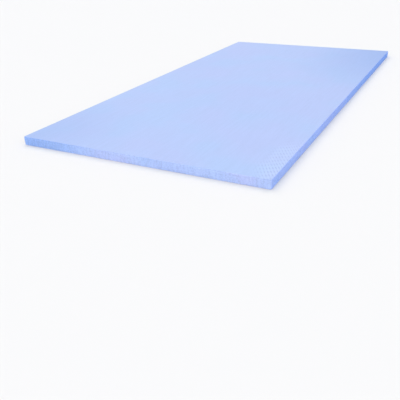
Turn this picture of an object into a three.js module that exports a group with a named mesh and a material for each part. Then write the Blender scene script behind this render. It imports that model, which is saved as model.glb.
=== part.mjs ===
// Extruded polystyrene (XPS) insulation board, square edged, lying flat.
// Millimetres. +Z up, board length along Y, board width along X.
// The origin is the centre of the bottom face.

import * as THREE from 'three';

// Driving dimensions
const BOARD_LENGTH = 1250;
const BOARD_WIDTH = 600;
const BOARD_THICKNESS = 20;
// The saw leaves the four plan corners almost sharp: handling rounds them a little.
const PLAN_CORNER_RADIUS = 1.6;
// Small rounding where the skinned faces meet the cut edges.
const ARRIS_RADIUS = 0.8;

// Fineness of the two roundings
const CORNER_SEGMENTS = 6;
const ARRIS_SEGMENTS = 3;

const foamMaterial = new THREE.MeshStandardMaterial({
  name: 'xps_foam',
  color: 0xb7ccfb,
  roughness: 0.72,
  metalness: 0,
});

// Plan outline of the board: a rectangle with its four corners rounded.
function boardOutline(width, length, radius) {
  const reachX = width / 2 - radius;
  const reachY = length / 2 - radius;
  const quarterTurn = Math.PI / 2;
  const corners = [
    [reachX, reachY],
    [-reachX, reachY],
    [-reachX, -reachY],
    [reachX, -reachY],
  ];
  const outline = new THREE.Shape();
  corners.forEach(([x, y], index) => {
    const start = index * quarterTurn;
    outline.absarc(x, y, radius, start, start + quarterTurn, false);
  });
  return outline;
}

// One solid board, resting on the XY plane, with every arris eased.
function boardGeometry() {
  const outline = boardOutline(BOARD_WIDTH, BOARD_LENGTH, PLAN_CORNER_RADIUS);
  const geometry = new THREE.ExtrudeGeometry(outline, {
    depth: BOARD_THICKNESS - 2 * ARRIS_RADIUS,
    curveSegments: CORNER_SEGMENTS,
    bevelEnabled: true,
    bevelThickness: ARRIS_RADIUS,
    bevelSize: ARRIS_RADIUS,
    bevelOffset: -ARRIS_RADIUS,
    bevelSegments: ARRIS_SEGMENTS,
  });
  return geometry;
}

function buildBoard() {
  const board = new THREE.Mesh(boardGeometry(), foamMaterial);
  board.name = 'board';
  // The extrusion starts one rounding below its own origin.
  board.position.z = ARRIS_RADIUS;
  return board;
}

const xpsInsulationBoard = new THREE.Group();
xpsInsulationBoard.add(buildBoard());

export default xpsInsulationBoard;
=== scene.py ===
"""The looks of an XPS insulation board: one flat foam board lying on a pale studio floor."""

import logging
import math
import random
from dataclasses import dataclass
from enum import Enum
from itertools import product

import bmesh
import bpy
from mathutils import Matrix, Vector, kdtree, noise


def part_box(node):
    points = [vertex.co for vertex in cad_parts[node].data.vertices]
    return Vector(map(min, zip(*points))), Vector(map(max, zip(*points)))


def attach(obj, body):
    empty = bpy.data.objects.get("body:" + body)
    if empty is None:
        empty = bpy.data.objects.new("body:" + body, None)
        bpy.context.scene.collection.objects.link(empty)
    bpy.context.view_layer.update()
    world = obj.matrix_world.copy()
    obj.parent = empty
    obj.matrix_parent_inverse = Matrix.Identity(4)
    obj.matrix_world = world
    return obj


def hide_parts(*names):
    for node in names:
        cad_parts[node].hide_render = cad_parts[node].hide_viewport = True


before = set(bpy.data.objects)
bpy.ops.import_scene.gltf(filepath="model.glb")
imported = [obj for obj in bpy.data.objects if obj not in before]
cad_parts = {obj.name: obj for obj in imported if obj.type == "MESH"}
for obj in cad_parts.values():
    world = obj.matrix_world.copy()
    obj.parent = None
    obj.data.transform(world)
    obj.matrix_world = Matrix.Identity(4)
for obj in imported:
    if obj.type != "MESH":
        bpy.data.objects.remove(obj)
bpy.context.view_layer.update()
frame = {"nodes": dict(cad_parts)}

log = logging.getLogger("xps_board")

MM = 0.001

# Points closer than this count as one
TOUCH = 0.001 * MM

# A direction is upright when its upward share is over the first, and level when it is under the second
UPRIGHT_SHARE = 0.99
LEVEL_SHARE = 0.01

# Colours of the lights
PLAIN_WHITE = (1.0, 1.0, 1.0)
WARM_WHITE = (1.0, 0.93, 0.68)
COOL_WHITE = (0.36, 0.54, 1.0)

Socket = bpy.types.NodeSocket
Feed = Socket | float | tuple
Range = tuple[float, float]
Triple = tuple[float, float, float]
Colour = tuple[float, float, float, float]


class Surface(Enum):
    """The two kinds of surface on the board, in the order of its material slots."""

    SKIN = 0
    CUT = 1


class NodeSheet:
    """Adds nodes to one shader tree and wires them."""

    def __init__(self, tree: bpy.types.NodeTree) -> None:
        """Takes over a tree and empties it."""
        self.tree = tree
        self.tree.nodes.clear()

    def feed(self, target: Socket, source: Feed) -> None:
        """Gives a socket its source.

        Args:
            target: the input socket.
            source: an output socket to link, or a plain value to set.
        """
        if isinstance(source, bpy.types.NodeSocket):
            self.tree.links.new(source, target)
        else:
            target.default_value = source

    def add(self, kind: str, feeds: dict[str, Feed] | None = None,
            **options: str | bpy.types.NodeTree) -> bpy.types.Node:
        """Adds a node.

        Args:
            kind: the node's type, without the leading ShaderNode.
            feeds: a source for each input, by the input's name.
            options: the node's own settings.

        Returns:
            The new node.
        """
        node = self.tree.nodes.new("ShaderNode" + kind)
        for name, value in options.items():
            setattr(node, name, value)
        for name, source in (feeds or {}).items():
            self.feed(node.inputs[name], source)
        return node

    def group(self, effect: bpy.types.NodeTree, feeds: dict[str, Feed]) -> bpy.types.Node:
        """Places a shared effect.

        Args:
            effect: the effect's node group.
            feeds: a source for each of its inputs, by name.

        Returns:
            The placed group.
        """
        return self.add("Group", feeds, node_tree=effect)

    def maths(self, operation: str, *sources: Feed) -> Socket:
        """Works out one number.

        Args:
            operation: the Math node's operation.
            sources: its one, two or three inputs.

        Returns:
            The result's socket.
        """
        node = self.add("Math", operation=operation)
        for target, source in zip(node.inputs, sources):
            self.feed(target, source)
        return node.outputs["Value"]

    def blend(self, factor: Feed, first: Feed, second: Feed) -> Socket:
        """Mixes two colours. The Mix node's colour sockets share their names, so they go by place.

        Args:
            factor: 0 for the first colour, 1 for the second.
            first: the first colour.
            second: the second colour.

        Returns:
            The mixed colour's socket.
        """
        node = self.add("Mix", data_type="RGBA")
        factor_in, first_in, second_in = node.inputs[0], node.inputs[6], node.inputs[7]
        self.feed(factor_in, factor)
        self.feed(first_in, first)
        self.feed(second_in, second)
        return node.outputs[2]

    def overlay(self, mask: Socket, share: float, under: Feed, over: Feed) -> Socket:
        """Lays one colour over another where a mask says.

        Args:
            mask: where the upper colour lies, from 0 to 1.
            share: how much of it shows where the mask is 1.
            under: the lower colour.
            over: the upper colour.

        Returns:
            The mixed colour's socket.
        """
        return self.blend(self.maths("MULTIPLY", mask, share), under, over)

    def ramp(self, value: Feed, low: Feed, high: Feed, start: float = 0.0, end: float = 1.0) -> Socket:
        """Turns a stretch of values into another with a soft S curve.

        Args:
            value: the value to turn.
            low: the value that gives start.
            high: the value that gives end.
            start: the result at low and before it.
            end: the result at high and past it.

        Returns:
            The result's socket.
        """
        feeds = {"Value": value, "From Min": low, "From Max": high, "To Min": start, "To Max": end}
        return self.add("MapRange", feeds, interpolation_type="SMOOTHSTEP").outputs["Result"]

    def clouds(self, place: Feed, scale: Feed, detail: float = 2.0, roughness: float = 0.5) -> Socket:
        """Adds soft random patches.

        Args:
            place: the coordinates.
            scale: patches per metre.
            detail: how many finer layers lie on the patches.
            roughness: how strong the finer layers are.

        Returns:
            The socket of a value around one half.
        """
        feeds = {"Vector": place, "Scale": scale, "Detail": detail, "Roughness": roughness}
        return self.add("TexNoise", feeds, noise_dimensions="3D").outputs["Fac"]

    def apart(self, place: Socket, centre: Triple, spread: Triple) -> Socket:
        """Measures how far a point lies from a centre.

        Args:
            place: the point.
            centre: the centre.
            spread: the distance along each axis that counts as 1.

        Returns:
            The distance's socket.
        """
        feeds = {"Vector": place, "Location": centre, "Scale": spread}
        local = self.add("Mapping", feeds, vector_type="TEXTURE").outputs["Vector"]
        return self.add("VectorMath", {"Vector": local}, operation="LENGTH").outputs["Value"]


class SharedEffect:
    """A node group that several finishes place, each with its own values."""

    name = "effect"
    takes: tuple[tuple[str, str], ...] = ()
    gives: tuple[tuple[str, str], ...] = ()

    def build(self) -> bpy.types.NodeTree:
        """Makes the node group with its named sockets.

        Returns:
            The node group.
        """
        tree = bpy.data.node_groups.new(self.name, "ShaderNodeTree")
        for label, kind in self.takes:
            tree.interface.new_socket(label, in_out="INPUT", socket_type="NodeSocket" + kind)
        for label, kind in self.gives:
            tree.interface.new_socket(label, in_out="OUTPUT", socket_type="NodeSocket" + kind)
        sheet = NodeSheet(tree)
        into = tree.nodes.new("NodeGroupInput")
        out = tree.nodes.new("NodeGroupOutput")
        for label, source in self.wire(sheet, into.outputs).items():
            sheet.feed(out.inputs[label], source)
        return tree

    def wire(self, sheet: NodeSheet, given: bpy.types.NodeOutputs) -> dict[str, Socket]:
        """Builds the inside of the group.

        Args:
            sheet: where the nodes go.
            given: the group's inputs.

        Returns:
            The source of each of the group's outputs, by name.
        """
        raise NotImplementedError


class CellGrain(SharedEffect):
    """Foam cells: small rounded cells, clumps of them, a finer dust, and rare open pits."""

    name = "cell_grain"
    takes = (("Coordinates", "Vector"), ("Cells per metre", "Float"), ("Pit share", "Float"))
    gives = (("Cells", "Float"), ("Pits", "Float"))

    # Each layer's count as a share of the count of cells, and its share of the pattern
    clump_scale = 0.4
    dust_scale = 2.3
    crown_share = 0.35
    clump_share = 0.45
    dust_share = 0.2

    # Distances from a cell's middle between which its crown and a pit's mouth fade in
    crown_range = (0.75, 0.05)
    mouth_range = (0.42, 0.18)

    # Cloud values between which a clump fades in
    clump_range = (0.3, 0.7)

    def wire(self, sheet: NodeSheet, given: bpy.types.NodeOutputs) -> dict[str, Socket]:
        """Lays the cells over the clumps and the dust.

        Args:
            sheet: where the nodes go.
            given: the group's inputs.

        Returns:
            The cells, 0 in the joints to 1 on the cell, and the pits, 1 inside one.
        """
        place, count = given["Coordinates"], given["Cells per metre"]
        cell = sheet.add("TexVoronoi", {"Vector": place, "Scale": count, "Randomness": 1.0})
        crown = sheet.ramp(cell.outputs["Distance"], *self.crown_range)
        clump_count = sheet.maths("MULTIPLY", count, self.clump_scale)
        clumps = sheet.ramp(sheet.clouds(place, clump_count, roughness=0.6), *self.clump_range)
        dust_count = sheet.maths("MULTIPLY", count, self.dust_scale)
        dust = sheet.clouds(place, dust_count, roughness=0.7)
        cells = sheet.maths("MULTIPLY", dust, self.dust_share)
        cells = sheet.maths("MULTIPLY_ADD", clumps, self.clump_share, cells)
        cells = sheet.maths("MULTIPLY_ADD", crown, self.crown_share, cells)
        lot = sheet.add("SeparateColor", {"Color": cell.outputs["Color"]}).outputs["Red"]
        chosen = sheet.maths("LESS_THAN", lot, given["Pit share"])
        mouth = sheet.ramp(cell.outputs["Distance"], *self.mouth_range)
        return {"Cells": cells, "Pits": sheet.maths("MULTIPLY", chosen, mouth)}


class FineLines(SharedEffect):
    """Fine uneven lines, as a die or a saw leaves them, in coordinates that are already drawn out."""

    name = "fine_lines"
    takes = (("Coordinates", "Vector"),)
    gives = (("Lines", "Float"),)

    line_range = (0.3, 0.7)

    def wire(self, sheet: NodeSheet, given: bpy.types.NodeOutputs) -> dict[str, Socket]:
        """Draws the lines.

        Args:
            sheet: where the nodes go.
            given: the group's inputs.

        Returns:
            The lines, from 0 to 1.
        """
        uneven = sheet.clouds(given["Coordinates"], 1.0, roughness=0.6)
        return {"Lines": sheet.ramp(uneven, *self.line_range)}


class StrokeRows(SharedEffect):
    """Short strokes in rows, in coordinates that count rows along X and strokes along Y."""

    name = "stroke_rows"
    takes = (("Coordinates", "Vector"),)
    gives = (("Strokes", "Float"),)

    # How fast the rows wander, and how many rows and strokes they wander by
    drift_scale = 0.12
    row_drift = 1.6
    stroke_drift = -0.8

    # How strong the strokes are beside their rows, and the range that fades a stroke in
    stroke_share = 0.55
    stroke_range = (-0.4, 1.4)

    def wire(self, sheet: NodeSheet, given: bpy.types.NodeOutputs) -> dict[str, Socket]:
        """Sets out the strokes, each row a little off straight.

        Args:
            sheet: where the nodes go.
            given: the group's inputs.

        Returns:
            The strokes, from 0 between them to 1 in the middle of one.
        """
        place = given["Coordinates"]
        parts = sheet.add("SeparateXYZ", {"Vector": place})
        drift = sheet.clouds(place, self.drift_scale, detail=1.0)
        across = sheet.maths("MULTIPLY_ADD", drift, self.row_drift, parts.outputs["X"])
        along = sheet.maths("MULTIPLY_ADD", drift, self.stroke_drift, parts.outputs["Y"])
        row = sheet.maths("SINE", sheet.maths("MULTIPLY", across, math.tau))
        stroke = sheet.maths("SINE", sheet.maths("MULTIPLY", along, math.tau))
        joined = sheet.maths("MULTIPLY_ADD", stroke, self.stroke_share, row)
        return {"Strokes": sheet.ramp(joined, *self.stroke_range)}


class ArrisWearAndLight(SharedEffect):
    """Worn arrises of a box that is centred on the Z axis and stands on Z 0: a pale rub, which is also a
    painted highlight, and dark tears, which are also painted shade.
    """

    name = "arris_wear_and_light"
    takes = (
        ("Coordinates", "Vector"),
        ("Half width", "Float"),
        ("Half length", "Float"),
        ("Height", "Float"),
        ("Reach", "Float"),
        ("Gaps", "Float"),
    )
    gives = (("Rub and highlight", "Float"), ("Tears and shade", "Float"))

    # Where the clouds break the rub, and where their finer kind tears the foam
    break_range = (0.38, 0.62)
    tear_scale = 1.7
    tear_range = (0.46, 0.36)

    def wire(self, sheet: NodeSheet, given: bpy.types.NodeOutputs) -> dict[str, Socket]:
        """Measures how near a point is to the closest arris.

        Args:
            sheet: where the nodes go.
            given: the group's inputs.

        Returns:
            The broken pale rub, which is also a painted highlight, and the small dark tears, which are
            also painted shade, both 1 on the arris and 0 past the reach.
        """
        place, gaps = given["Coordinates"], given["Gaps"]
        parts = sheet.add("SeparateXYZ", {"Vector": place})
        across = sheet.maths("ABSOLUTE", parts.outputs["X"])
        along = sheet.maths("ABSOLUTE", parts.outputs["Y"])
        from_side = sheet.maths("SUBTRACT", given["Half width"], across)
        from_end = sheet.maths("SUBTRACT", given["Half length"], along)
        from_top = sheet.maths("SUBTRACT", given["Height"], parts.outputs["Z"])
        from_face = sheet.maths("MINIMUM", parts.outputs["Z"], from_top)
        from_edge = sheet.maths("MINIMUM", from_side, from_end)
        flat_arris = sheet.maths("MAXIMUM", from_edge, from_face)
        upright_arris = sheet.maths("MAXIMUM", from_side, from_end)
        near = sheet.ramp(sheet.maths("MINIMUM", flat_arris, upright_arris), given["Reach"], 0.0)
        breaks = sheet.ramp(sheet.clouds(place, gaps, detail=3.0, roughness=0.65), *self.break_range)
        tear_gaps = sheet.maths("MULTIPLY", gaps, self.tear_scale)
        tears = sheet.ramp(sheet.clouds(place, tear_gaps, roughness=0.6), *self.tear_range)
        return {
            "Rub and highlight": sheet.maths("MULTIPLY", near, breaks),
            "Tears and shade": sheet.maths("MULTIPLY", near, tears),
        }


class HandlingMarks(SharedEffect):
    """What storage leaves on foam: broad soft patches of tone, and small dusty smudges."""

    name = "handling_marks"
    takes = (("Coordinates", "Vector"), ("Patches per metre", "Float"))
    gives = (("Patches", "Float"), ("Smudges", "Float"))

    patch_range = (0.3, 0.7)
    smudge_scale = 7.0
    smudge_range = (0.6, 0.78)

    def wire(self, sheet: NodeSheet, given: bpy.types.NodeOutputs) -> dict[str, Socket]:
        """Spreads the patches and the smudges.

        Args:
            sheet: where the nodes go.
            given: the group's inputs.

        Returns:
            The patches and the smudges, each from 0 to 1.
        """
        place, count = given["Coordinates"], given["Patches per metre"]
        broad = sheet.clouds(place, count, detail=3.0, roughness=0.55)
        smudge_count = sheet.maths("MULTIPLY", count, self.smudge_scale)
        spots = sheet.clouds(place, smudge_count, detail=5.0, roughness=0.62)
        patches = sheet.ramp(broad, *self.patch_range)
        return {"Patches": patches, "Smudges": sheet.ramp(spots, *self.smudge_range)}


@dataclass(frozen=True)
class Effects:
    """The shared effects, built once."""

    grain: bpy.types.NodeTree
    lines: bpy.types.NodeTree
    rows: bpy.types.NodeTree
    wear: bpy.types.NodeTree
    marks: bpy.types.NodeTree

    @classmethod
    def build(cls) -> "Effects":
        """Builds every effect.

        Returns:
            The effects.
        """
        return cls(
            grain=CellGrain().build(),
            lines=FineLines().build(),
            rows=StrokeRows().build(),
            wear=ArrisWearAndLight().build(),
            marks=HandlingMarks().build(),
        )


@dataclass(frozen=True)
class SurfaceMark:
    """A pattern that darkens the foam a little and sinks into it. Depths are in metres."""

    tone: float
    depth: float

    def mask(self, sheet: NodeSheet, effects: Effects, place: Socket) -> Socket:
        """Lays the pattern.

        Args:
            sheet: where the nodes go.
            effects: the shared effects.
            place: the board's own coordinates.

        Returns:
            The pattern, 0 where it leaves the foam alone and 1 where it is strongest.
        """
        raise NotImplementedError


@dataclass(frozen=True)
class Streaks(SurfaceMark):
    """Fine uneven lines. The counts per metre are low along the lines and high across them."""

    per_metre: Triple

    def mask(self, sheet: NodeSheet, effects: Effects, place: Socket) -> Socket:
        """Draws the lines out along one axis.

        Args:
            sheet: where the nodes go.
            effects: the shared effects.
            place: the board's own coordinates.

        Returns:
            The lines, from 0 to 1.
        """
        drawn = sheet.add("Mapping", {"Vector": place, "Scale": self.per_metre}).outputs["Vector"]
        return sheet.group(effects.lines, {"Coordinates": drawn}).outputs["Lines"]


@dataclass(frozen=True)
class FeedPrint(SurfaceMark):
    """Rows of short slanting strokes that a feed roller pressed in beside one edge."""

    centre: Triple
    spread: Triple
    row_gap: float
    stroke_gap: float
    slant: float
    pressed_share: float = 0.55
    fade_range: Range = (1.15, 0.55)
    patches: float = 22.0
    patch_range: Range = (0.32, 0.58)
    weakest: float = 0.3

    def mask(self, sheet: NodeSheet, effects: Effects, place: Socket) -> Socket:
        """Turns the rows to their slant and fades them out around their centre.

        Args:
            sheet: where the nodes go.
            effects: the shared effects.
            place: the board's own coordinates.

        Returns:
            The print, above 0 in a stroke and below 0 on the ridges between strokes.
        """
        feeds = {
            "Vector": place,
            "Rotation": (0.0, 0.0, self.slant),
            "Scale": (self.row_gap, self.stroke_gap, 1.0),
        }
        turned = sheet.add("Mapping", feeds, vector_type="TEXTURE").outputs["Vector"]
        strokes = sheet.group(effects.rows, {"Coordinates": turned}).outputs["Strokes"]
        swing = sheet.maths("SUBTRACT", strokes, self.pressed_share)
        fade = sheet.ramp(sheet.apart(place, self.centre, self.spread), *self.fade_range)
        clouds = sheet.clouds(place, self.patches, detail=3.0)
        uneven = sheet.ramp(clouds, *self.patch_range, start=self.weakest)
        return sheet.maths("MULTIPLY", swing, sheet.maths("MULTIPLY", fade, uneven))


@dataclass(frozen=True)
class PaintedShadePatch:
    """A broad patch of painted shade, in which the foam is coloured a deeper blue where less light falls,
    strongest in its middle. Sizes are in metres.
    """

    centre: Triple
    spread: Triple
    share: float

    def mask(self, sheet: NodeSheet, place: Socket) -> Socket:
        """Lays the patch.

        Args:
            sheet: where the nodes go.
            place: the board's own coordinates.

        Returns:
            The patch, from 0 past its spread to its share in the middle.
        """
        apart = sheet.apart(place, self.centre, self.spread)
        return sheet.ramp(apart, 1.0, 0.0, end=self.share)


@dataclass(frozen=True)
class FoamFinish:
    """One surface of the foam. Colours are linear, counts are per metre, depths are in metres."""

    name: str
    body_colour: Colour
    cool_colour: Colour
    violet_colour: Colour
    # Painted light in these colours: the deep colour also paints shade in the open pits, the worn colour
    # also a highlight on the arrises, the torn colour also shade along them, and the shade colour fills
    # the patches of painted shade
    deep_and_pit_shaded_colour: Colour
    worn_and_highlight_colour: Colour
    dust_colour: Colour
    torn_and_shaded_colour: Colour
    painted_shade_colour: Colour
    marks: tuple[SurfaceMark, ...]
    painted_shade_patches: tuple[PaintedShadePatch, ...]
    cells: float
    pit_share: float
    patches: float
    hues: float
    rub_reach: float
    grain_tone: float
    grain_depth: float
    smooth: float
    rough: float
    specular: float
    refraction: float = 1.45
    gaps: float = 160.0
    patch_share: float = 0.35
    pit_shade_tint: float = 0.5
    pit_sink: float = 2.0
    rub_and_highlight_share: float = 0.35
    tear_and_shade_share: float = 0.7
    dust_share: float = 0.18
    violet_range: Range = (0.50, 0.64)
    cool_range: Range = (0.50, 0.36)
    gloss_range: Range = (0.2, 0.8)

    def material(self, effects: Effects, extent: Vector) -> bpy.types.Material:
        """Builds the finish.

        Args:
            effects: the shared effects.
            extent: the board's half width, half length and full height.

        Returns:
            The material.
        """
        material = bpy.data.materials.new(self.name)
        material.use_nodes = True
        sheet = NodeSheet(material.node_tree)
        place = sheet.add("TexCoord").outputs["Object"]
        grain = sheet.group(effects.grain, {
            "Coordinates": place,
            "Cells per metre": self.cells,
            "Pit share": self.pit_share,
        }).outputs
        wear = sheet.group(effects.wear, {
            "Coordinates": place,
            "Half width": extent.x,
            "Half length": extent.y,
            "Height": extent.z,
            "Reach": self.rub_reach,
            "Gaps": self.gaps,
        }).outputs
        masks = [(mark, mark.mask(sheet, effects, place)) for mark in self.marks]

        tone = self.tone(sheet, grain["Cells"], masks)
        tint = self.tint(sheet, effects, place)
        colour = sheet.add("HueSaturation", {"Color": tint, "Value": tone}).outputs["Color"]
        # Painted shade: the open pits are darkened, as shade falls in them
        colour = sheet.overlay(grain["Pits"], self.pit_shade_tint, colour, self.deep_and_pit_shaded_colour)
        # Partly torn foam, partly painted shade: dark flecks along the arrises
        colour = sheet.overlay(wear["Tears and shade"], self.tear_and_shade_share, colour, self.torn_and_shaded_colour)
        # Partly rubbed foam, partly painted highlight: pale flecks along the arrises
        colour = sheet.overlay(wear["Rub and highlight"], self.rub_and_highlight_share, colour, self.worn_and_highlight_colour)

        relief = self.relief(sheet, grain, masks)
        bump = sheet.add("Bump", {"Height": relief, "Strength": 1.0, "Distance": 1.0})
        shader = sheet.add("BsdfPrincipled", {
            "Base Color": colour,
            "Roughness": sheet.ramp(grain["Cells"], *self.gloss_range, start=self.rough, end=self.smooth),
            "Metallic": 0.0,
            "IOR": self.refraction,
            "Specular IOR Level": self.specular,
            "Normal": bump.outputs["Normal"],
        })
        sheet.add("OutputMaterial", {"Surface": shader.outputs["BSDF"]})
        return material

    def tint(self, sheet: NodeSheet, effects: Effects, place: Socket) -> Socket:
        """Mixes the foam's colour from its broad soft patches, and paints shade into it where the patches
        of painted shade lie.

        Args:
            sheet: where the nodes go.
            effects: the shared effects.
            place: the board's own coordinates.

        Returns:
            The colour before the fine light and dark.
        """
        hue = sheet.clouds(place, self.hues)
        colour = sheet.blend(sheet.ramp(hue, *self.violet_range), self.body_colour, self.violet_colour)
        colour = sheet.blend(sheet.ramp(hue, *self.cool_range), colour, self.cool_colour)
        feeds = {"Coordinates": place, "Patches per metre": self.patches}
        storage = sheet.group(effects.marks, feeds).outputs
        colour = sheet.overlay(storage["Patches"], self.patch_share, colour, self.deep_and_pit_shaded_colour)
        colour = sheet.overlay(storage["Smudges"], self.dust_share, colour, self.dust_colour)
        # Painted shade: each patch darkens the colour where less light falls on the board
        for patch in self.painted_shade_patches:
            colour = sheet.blend(patch.mask(sheet, place), colour, self.painted_shade_colour)
        return colour

    def tone(self, sheet: NodeSheet, cells: Socket, masks: list[tuple[SurfaceMark, Socket]]) -> Socket:
        """Adds up the fine light and dark of the surface.

        Args:
            sheet: where the nodes go.
            cells: the cell pattern.
            masks: each mark with its laid pattern.

        Returns:
            The brightness by which the colour is multiplied, about 1.
        """
        darkest = 1.0 - self.grain_tone / 2
        total = sheet.maths("MULTIPLY_ADD", cells, self.grain_tone, darkest)
        for mark, mask in masks:
            total = sheet.maths("MULTIPLY_ADD", mask, -mark.tone, total)
        return total

    def relief(self, sheet: NodeSheet, grain: bpy.types.NodeOutputs,
               masks: list[tuple[SurfaceMark, Socket]]) -> Socket:
        """Adds up the fine relief of the surface.

        Args:
            sheet: where the nodes go.
            grain: the outputs of the placed cell grain.
            masks: each mark with its laid pattern.

        Returns:
            The height in metres.
        """
        pit_depth = self.pit_sink * self.grain_depth
        total = sheet.maths("MULTIPLY", grain["Cells"], self.grain_depth)
        total = sheet.maths("MULTIPLY_ADD", grain["Pits"], -pit_depth, total)
        for mark, mask in masks:
            total = sheet.maths("MULTIPLY_ADD", mask, -mark.depth, total)
        return total


SKIN_FINISH = FoamFinish(
    name="extruded_skin",
    body_colour=(0.422, 0.489, 0.725, 1.0),
    cool_colour=(0.404, 0.495, 0.727, 1.0),
    violet_colour=(0.434, 0.483, 0.723, 1.0),
    # Painted light in these colours: the deep colour also paints shade in the open pits, the worn colour
    # also a highlight on the arrises, the torn colour also shade along them, and the shade colour fills
    # the patches of painted shade
    deep_and_pit_shaded_colour=(0.400, 0.472, 0.715, 1.0),
    worn_and_highlight_colour=(0.485, 0.544, 0.753, 1.0),
    dust_colour=(0.455, 0.513, 0.729, 1.0),
    torn_and_shaded_colour=(0.300, 0.368, 0.602, 1.0),
    painted_shade_colour=(0.304, 0.400, 0.665, 1.0),
    marks=(
        Streaks(tone=0.035, depth=0.05 * MM, per_metre=(200.0, 9.0, 200.0)),
        FeedPrint(
            tone=0.18,
            depth=0.15 * MM,
            centre=(0.305, -0.530, 0.020),
            spread=(0.060, 0.140, 1.0),
            row_gap=6.2 * MM,
            stroke_gap=17.0 * MM,
            slant=math.radians(31.0),
        ),
    ),
    # Painted shade: darker towards the far right corner and at the near left corner
    painted_shade_patches=(
        PaintedShadePatch(centre=(0.350, 0.620, 0.020), spread=(0.380, 0.740, 1.0), share=1.0),
        PaintedShadePatch(centre=(-0.320, -0.610, 0.020), spread=(0.300, 0.360, 1.0), share=0.5),
    ),
    cells=900.0,
    pit_share=0.02,
    patches=3.0,
    hues=6.0,
    rub_reach=1.4 * MM,
    grain_tone=0.035,
    grain_depth=0.02 * MM,
    smooth=0.5,
    rough=0.62,
    specular=0.4,
)

CUT_FINISH = FoamFinish(
    name="cut_foam",
    body_colour=(0.450, 0.552, 0.920, 1.0),
    cool_colour=(0.420, 0.549, 0.920, 1.0),
    violet_colour=(0.480, 0.547, 0.920, 1.0),
    # Painted light in these colours: the deep colour also paints shade in the open pits, the worn colour
    # also a highlight on the arrises, the torn colour also shade along them, and the shade colour fills
    # the patches of painted shade
    deep_and_pit_shaded_colour=(0.390, 0.510, 0.906, 1.0),
    worn_and_highlight_colour=(0.512, 0.614, 0.925, 1.0),
    dust_colour=(0.478, 0.579, 0.915, 1.0),
    torn_and_shaded_colour=(0.252, 0.351, 0.698, 1.0),
    painted_shade_colour=(0.262, 0.417, 0.850, 1.0),
    marks=(
        Streaks(tone=0.10, depth=0.18 * MM, per_metre=(260.0, 260.0, 55.0)),
        Streaks(tone=0.06, depth=0.06 * MM, per_metre=(18.0, 18.0, 380.0)),
    ),
    # Painted shade: darker towards the far right end and at the near left corner
    painted_shade_patches=(
        PaintedShadePatch(centre=(0.310, 0.600, 0.010), spread=(0.300, 1.300, 1.0), share=1.0),
        PaintedShadePatch(centre=(-0.310, -0.625, 0.010), spread=(0.280, 0.280, 1.0), share=0.85),
    ),
    cells=700.0,
    pit_share=0.12,
    patches=6.0,
    hues=9.0,
    rub_reach=1.2 * MM,
    grain_tone=0.26,
    grain_depth=0.24 * MM,
    smooth=0.72,
    rough=0.9,
    specular=0.25,
)

FINISHES = {Surface.SKIN: SKIN_FINISH, Surface.CUT: CUT_FINISH}


def add_object(name: str, data: bpy.types.ID) -> bpy.types.Object:
    """Puts an object into the scene.

    Args:
        name: the object's name.
        data: its mesh, light or camera.

    Returns:
        The object, at the origin.
    """
    added = bpy.data.objects.new(name, data)
    bpy.context.scene.collection.objects.link(added)
    return added


def add_mesh(name: str, mesh: bmesh.types.BMesh) -> bpy.types.Object:
    """Puts a finished mesh into the scene and frees its working copy.

    Args:
        name: the name of the object and its mesh.
        mesh: the working copy.

    Returns:
        The object, at the origin.
    """
    data = bpy.data.meshes.new(name)
    mesh.to_mesh(data)
    mesh.free()
    return add_object(name, data)


def soft_noise(place: Vector) -> float:
    """Soft noise from 0 to 1."""
    return 0.5 + 0.5 * noise.noise(place)


@dataclass(frozen=True)
class Bruise:
    """A soft dent: every point within reach moves along push, most at the centre."""

    centre: Vector
    push: Vector
    reach: float


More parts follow.
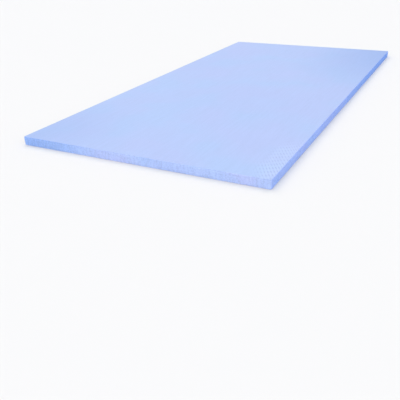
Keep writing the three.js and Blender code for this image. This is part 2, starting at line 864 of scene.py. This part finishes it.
@dataclass
class InsulationBoard:
    """The board: one flat slab of foam with skinned faces and cut edges. Sizes are in metres."""

    low: Vector
    high: Vector
    name: str = "foam_board"
    node: str = "board"
    plan_corner_radius: float = 1.6 * MM
    plan_corner_segments: int = 4
    arris_radius: float = 0.8 * MM
    arris_segments: int = 3
    arris_angle: float = math.radians(60.0)
    cell: float = 25.0 * MM
    border_cuts: int = 11
    short_side: float = 8.0 * MM
    saw_wander: float = 0.45 * MM
    saw_wander_span: float = 60.0 * MM
    cell_relief: float = 0.13 * MM
    cell_span: float = 2.6 * MM
    pit_depth: float = 0.4 * MM
    pit_threshold: float = 0.42
    skin_sag: float = 0.12 * MM
    skin_sag_span: float = 260.0 * MM
    arris_rub: float = 0.6 * MM
    arris_rub_span: float = 17.0 * MM
    chip_count: int = 150
    chip_depth: float = 0.9 * MM
    chip_least: float = 0.2
    chip_reach: Range = (2.2 * MM, 5.0 * MM)
    corner_depth: Range = (0.2 * MM, 0.7 * MM)
    corner_reach: Range = (3.0 * MM, 6.0 * MM)
    worn_stretch_x: float = -130.0 * MM
    worn_stretch_push: Triple = (0.0, 1.4 * MM, -0.9 * MM)
    worn_stretch_reach: float = 17.0 * MM
    nick_x: float = -240.0 * MM
    nick_height: float = 3.0 * MM
    nick_push: Triple = (0.0, 1.3 * MM, 0.5 * MM)
    nick_reach: float = 4.0 * MM
    seed: int = 7

    @property
    def size(self) -> Vector:
        """The board's width, length and thickness."""
        return self.high - self.low

    @property
    def centre(self) -> Vector:
        """The middle of the board."""
        return (self.low + self.high) / 2

    def build(self) -> bpy.types.Object:
        """Models the board.

        Returns:
            The board's object, at the origin.
        """
        mesh = bmesh.new()
        self.cut_slab(mesh)
        self.lay_grid(mesh)
        self.refine_border(mesh)
        self.sort_surfaces(mesh)
        self.weather(mesh)
        bmesh.ops.recalc_face_normals(mesh, faces=mesh.faces)
        return add_mesh(self.name, mesh)

    def cut_slab(self, mesh: bmesh.types.BMesh) -> None:
        """Makes the slab with its rounded plan corners and eased arrises.

        Args:
            mesh: the empty mesh to fill.
        """
        place = Matrix.Translation(self.centre) @ Matrix.Diagonal(self.size).to_4x4()
        bmesh.ops.create_cube(mesh, size=1.0, matrix=place)
        uprights = [edge for edge in mesh.edges if self.rise(edge) > UPRIGHT_SHARE]
        self.round_off(mesh, uprights, self.plan_corner_radius, self.plan_corner_segments)
        level = [edge for edge in mesh.edges if self.rise(edge) < LEVEL_SHARE]
        arrises = [edge for edge in level if edge.calc_face_angle() > self.arris_angle]
        self.round_off(mesh, arrises, self.arris_radius, self.arris_segments)

    @staticmethod
    def rise(edge: bmesh.types.BMEdge) -> float:
        """The share of an edge that runs up."""
        along = edge.verts[1].co - edge.verts[0].co
        return abs(along.z) / along.length

    @staticmethod
    def round_off(mesh: bmesh.types.BMesh, edges: list[bmesh.types.BMEdge], radius: float,
                  segments: int) -> None:
        """Rounds some edges.

        Args:
            mesh: the mesh that holds them.
            edges: the edges to round.
            radius: the rounding's radius.
            segments: the number of its faces.
        """
        bmesh.ops.bevel(mesh, geom=edges, offset=radius, segments=segments, profile=0.5, material=-1,
                        affect="EDGES", clamp_overlap=True)

    def lay_grid(self, mesh: bmesh.types.BMesh) -> None:
        """Cuts the slab into even cells, with a narrow strip beside the plan corners.

        Args:
            mesh: the slab.
        """
        for axis in (0, 1):
            normal = Vector((0.0, 0.0, 0.0))
            normal[axis] = 1.0
            low, high = self.low[axis], self.high[axis]
            count = round((high - low) / self.cell)
            stations = [low + (high - low) * step / count for step in range(1, count)]
            stations += [low + self.plan_corner_radius, high - self.plan_corner_radius]
            for station in stations:
                geometry = [*mesh.verts, *mesh.edges, *mesh.faces]
                point = normal * station
                bmesh.ops.bisect_plane(mesh, geom=geometry, dist=TOUCH, plane_co=point, plane_no=normal)

    def refine_border(self, mesh: bmesh.types.BMesh) -> None:
        """Divides the cells along the four edges into a fine mesh, for their wear.

        Args:
            mesh: the gridded slab.
        """
        inner_x = self.high.x - self.cell - TOUCH
        inner_y = self.high.y - self.cell - TOUCH
        chosen = []
        for edge in mesh.edges:
            first, second = (vertex.co for vertex in edge.verts)
            in_side = min(abs(first.x), abs(second.x)) > inner_x
            in_end = min(abs(first.y), abs(second.y)) > inner_y
            if (in_side or in_end) and edge.calc_length() > self.short_side:
                chosen.append(edge)
        bmesh.ops.subdivide_edges(mesh, edges=chosen, cuts=self.border_cuts, use_grid_fill=True,
                                  use_single_edge=True)
        many_sided = [face for face in mesh.faces if len(face.verts) > 4]
        bmesh.ops.triangulate(mesh, faces=many_sided)

    def sort_surfaces(self, mesh: bmesh.types.BMesh) -> None:
        """Gives each face its surface, smooths it, and keeps the lines between flat and rounded crisp.

        Args:
            mesh: the finely divided slab.
        """
        mesh.normal_update()
        kinds = {}
        for face in mesh.faces:
            is_skin = abs(face.normal.z) > UPRIGHT_SHARE
            is_wall = abs(face.normal.z) < LEVEL_SHARE
            kinds[face] = (is_skin, is_wall)
            face.material_index = (Surface.SKIN if is_skin else Surface.CUT).value
            face.smooth = True
        for edge in mesh.edges:
            first, second = edge.link_faces
            edge.smooth = kinds[first] == kinds[second]

    def weather(self, mesh: bmesh.types.BMesh) -> None:
        """Moves the points inwards: saw wander, open cells, a faint sag, rubbed arrises and bruises.

        Args:
            mesh: the finely divided slab.
        """
        mesh.normal_update()
        moves = [-vertex.normal * self.depth_at(vertex.co, vertex.normal) for vertex in mesh.verts]
        tree = kdtree.KDTree(len(mesh.verts))
        for index, vertex in enumerate(mesh.verts):
            tree.insert(vertex.co, index)
        tree.balance()
        for bruise in self.bruises():
            for _, index, distance in tree.find_range(bruise.centre, bruise.reach):
                nearness = 1.0 - (distance / bruise.reach) ** 2
                moves[index] += bruise.push * nearness ** 2
        for vertex, move in zip(mesh.verts, moves):
            vertex.co += move

    def depth_at(self, place: Vector, normal: Vector) -> float:
        """How far a point of the weathered board lies under the plain slab.

        Args:
            place: the point on the plain slab.
            normal: the slab's normal there.

        Returns:
            The depth in metres.
        """
        wall = 1.0 - abs(normal.z)
        arris = 4.0 * wall * (1.0 - wall)
        wander = soft_noise(Vector((place.x, place.y, 0.0)) / self.saw_wander_span)
        cells = noise.noise(place / self.cell_span)
        pit = 1.0 if cells > self.pit_threshold else 0.0
        cut = self.saw_wander * wander + self.cell_relief * abs(cells) + self.pit_depth * pit * wall
        sag = self.skin_sag * soft_noise(place / self.skin_sag_span)
        rub = self.arris_rub * max(0.0, noise.noise(place / self.arris_rub_span))
        return wall * cut + (1.0 - wall) * sag + arris * rub

    def spot(self, way: Vector) -> Vector:
        """The point at a share, from -1 to 1 along each axis, of the way from the middle to a side."""
        return self.centre + Vector(share * side / 2 for share, side in zip(way, self.size))

    def bruises(self) -> list[Bruise]:
        """Lists the chips along the arrises, the pressed corners and the photographed marks.

        Returns:
            The bruises.
        """
        draw = random.Random(self.seed)
        return self.chips(draw) + self.pressed_corners(draw) + self.photographed_bruises()

    def chips(self, draw: random.Random) -> list[Bruise]:
        """Scatters the chips along the long and the short arrises, by their lengths.

        Args:
            draw: the source of random numbers.

        Returns:
            The chips.
        """
        short_share = self.size.x / (self.size.x + self.size.y)
        found = []
        for _ in range(self.chip_count):
            station = draw.uniform(-1.0, 1.0)
            side, face = draw.choice((-1, 1)), draw.choice((-1, 1))
            on_end = draw.random() < short_share
            way = Vector((station, side, face)) if on_end else Vector((side, station, face))
            inwards = Vector((0, -side, -face)) if on_end else Vector((-side, 0, -face))
            depth = self.chip_depth * draw.uniform(self.chip_least, 1.0) ** 2
            reach = draw.uniform(*self.chip_reach)
            found.append(Bruise(self.spot(way), inwards.normalized() * depth, reach))
        return found

    def pressed_corners(self, draw: random.Random) -> list[Bruise]:
        """Presses each of the eight corners in a little.

        Args:
            draw: the source of random numbers.

        Returns:
            The dents.
        """
        found = []
        for corner in product((-1, 1), repeat=3):
            way = Vector(corner)
            depth = draw.uniform(*self.corner_depth)
            reach = draw.uniform(*self.corner_reach)
            found.append(Bruise(self.spot(way), -way.normalized() * depth, reach))
        return found

    def photographed_bruises(self) -> list[Bruise]:
        """Lists the marks on the front edge that show in the photograph.

        Returns:
            A worn stretch of the upper arris and a nick low in the edge.
        """
        worn_stretch = Vector((self.worn_stretch_x, self.low.y, self.high.z))
        nick = Vector((self.nick_x, self.low.y, self.nick_height))
        return [
            Bruise(worn_stretch, Vector(self.worn_stretch_push), self.worn_stretch_reach),
            Bruise(nick, Vector(self.nick_push), self.nick_reach),
        ]

    def dress(self, board: bpy.types.Object, effects: Effects) -> None:
        """Gives the board its finishes and ties it to the frame.

        Args:
            board: the board's object.
            effects: the shared effects.
        """
        extent = Vector((self.size.x / 2, self.size.y / 2, self.size.z))
        for surface in Surface:
            board.data.materials.append(FINISHES[surface].material(effects, extent))
        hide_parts(self.node)
        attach(board, "root")


@dataclass(frozen=True)
class PaleFloor:
    """The studio floor. Sizes are in metres."""

    name: str = "studio_floor"
    reach: float = 14.0
    colour: Colour = (0.81, 0.755, 0.71, 1.0)
    roughness: float = 0.9
    specular: float = 0.1

    def build(self) -> bpy.types.Object:
        """Lays the floor.

        Returns:
            The floor's object.
        """
        mesh = bmesh.new()
        bmesh.ops.create_grid(mesh, x_segments=1, y_segments=1, size=self.reach)
        floor = add_mesh(self.name, mesh)
        floor.data.materials.append(self.material())
        return floor

    def material(self) -> bpy.types.Material:
        """Makes the floor's matt finish.

        Returns:
            The material.
        """
        material = bpy.data.materials.new("pale_floor")
        material.use_nodes = True
        sheet = NodeSheet(material.node_tree)
        shader = sheet.add("BsdfPrincipled", {
            "Base Color": self.colour,
            "Roughness": self.roughness,
            "Specular IOR Level": self.specular,
        })
        sheet.add("OutputMaterial", {"Surface": shader.outputs["BSDF"]})
        return material


@dataclass(frozen=True)
class SoftPanel:
    """A very large soft light, so far off that it falls evenly on the whole floor."""

    name: str
    place: Triple
    strength: float
    spread: float
    colour: Triple = PLAIN_WHITE

    def build(self) -> bpy.types.Object:
        """Hangs the light and turns it to the board.

        Returns:
            The light's object.
        """
        data = bpy.data.lights.new(self.name, "SUN")
        data.energy = self.strength
        data.angle = self.spread
        data.color = self.colour
        lamp = add_object(self.name, data)
        lamp.location = self.place
        lamp.rotation_euler = (-Vector(self.place)).to_track_quat("-Z", "Y").to_euler()
        return lamp


@dataclass(frozen=True)
class SoftStudio:
    """A cool even dome and three soft panels. The camera sees a plain pale wall in place of the dome."""

    dome_light: Colour = (0.550, 0.627, 0.704, 1.0)
    wall_colour: Colour = (0.965, 0.970, 0.975, 1.0)
    panels: tuple[SoftPanel, ...] = (
        SoftPanel("sky_panel", (-1.0, 1.0, 3.0), 1.64, math.radians(70.0)),
        SoftPanel("front_panel", (0.1, -1.9, 0.45), 1.6, math.radians(50.0), WARM_WHITE),
        SoftPanel("right_panel", (1.4, -0.5, 0.6), 0.95, math.radians(50.0), COOL_WHITE),
    )

    def build(self) -> None:
        """Lights the scene and shows its colours as they are."""
        world = bpy.data.worlds.new("studio_dome")
        world.use_nodes = True
        sheet = NodeSheet(world.node_tree)
        seen = sheet.add("LightPath").outputs["Is Camera Ray"]
        colour = sheet.blend(seen, self.dome_light, self.wall_colour)
        background = sheet.add("Background", {"Color": colour, "Strength": 1.0})
        sheet.add("OutputWorld", {"Surface": background.outputs["Background"]})
        bpy.context.scene.world = world
        bpy.context.scene.view_settings.view_transform = "Standard"
        for panel in self.panels:
            panel.build()


@dataclass(frozen=True)
class ShotCamera:
    """The photograph's viewpoint, fitted to the board's corners. Lens and sensor are in millimetres."""

    name: str = "shot_camera"
    place: Triple = (0.5886, -1.4606, 0.4230)
    yaw: float = math.radians(27.63)
    pitch: float = math.radians(-26.68)
    roll: float = math.radians(-1.68)
    lens: float = 47.53
    sensor: float = 36.0
    nearest: float = 0.01

    def build(self) -> bpy.types.Object:
        """Sets up the camera.

        Returns:
            The camera's object.
        """
        data = bpy.data.cameras.new(self.name)
        data.sensor_fit = "HORIZONTAL"
        data.sensor_width = self.sensor
        data.lens = self.lens
        data.clip_start = self.nearest
        heading = Matrix.Rotation(self.yaw, 4, "Z")
        tilt = Matrix.Rotation(math.pi / 2 + self.pitch, 4, "X")
        roll = Matrix.Rotation(self.roll, 4, "Z")
        camera = add_object(self.name, data)
        camera.matrix_world = Matrix.Translation(self.place) @ heading @ tilt @ roll
        bpy.context.scene.camera = camera
        return camera


def main() -> None:
    """Builds the board, its finishes and the studio, and reports each piece."""
    logging.basicConfig(level=logging.INFO, format="%(name)s: %(message)s")
    log.info("frame: %s", ", ".join(frame["nodes"]))
    plan = InsulationBoard(*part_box("board"))
    board = plan.build()
    plan.dress(board, Effects.build())
    log.info("%s: %d faces, %d finishes", board.name, len(board.data.polygons), len(board.data.materials))
    floor = PaleFloor().build()
    SoftStudio().build()
    camera = ShotCamera().build()
    log.info("%s and %s: in place", floor.name, camera.name)


if __name__ == "__main__":
    main()
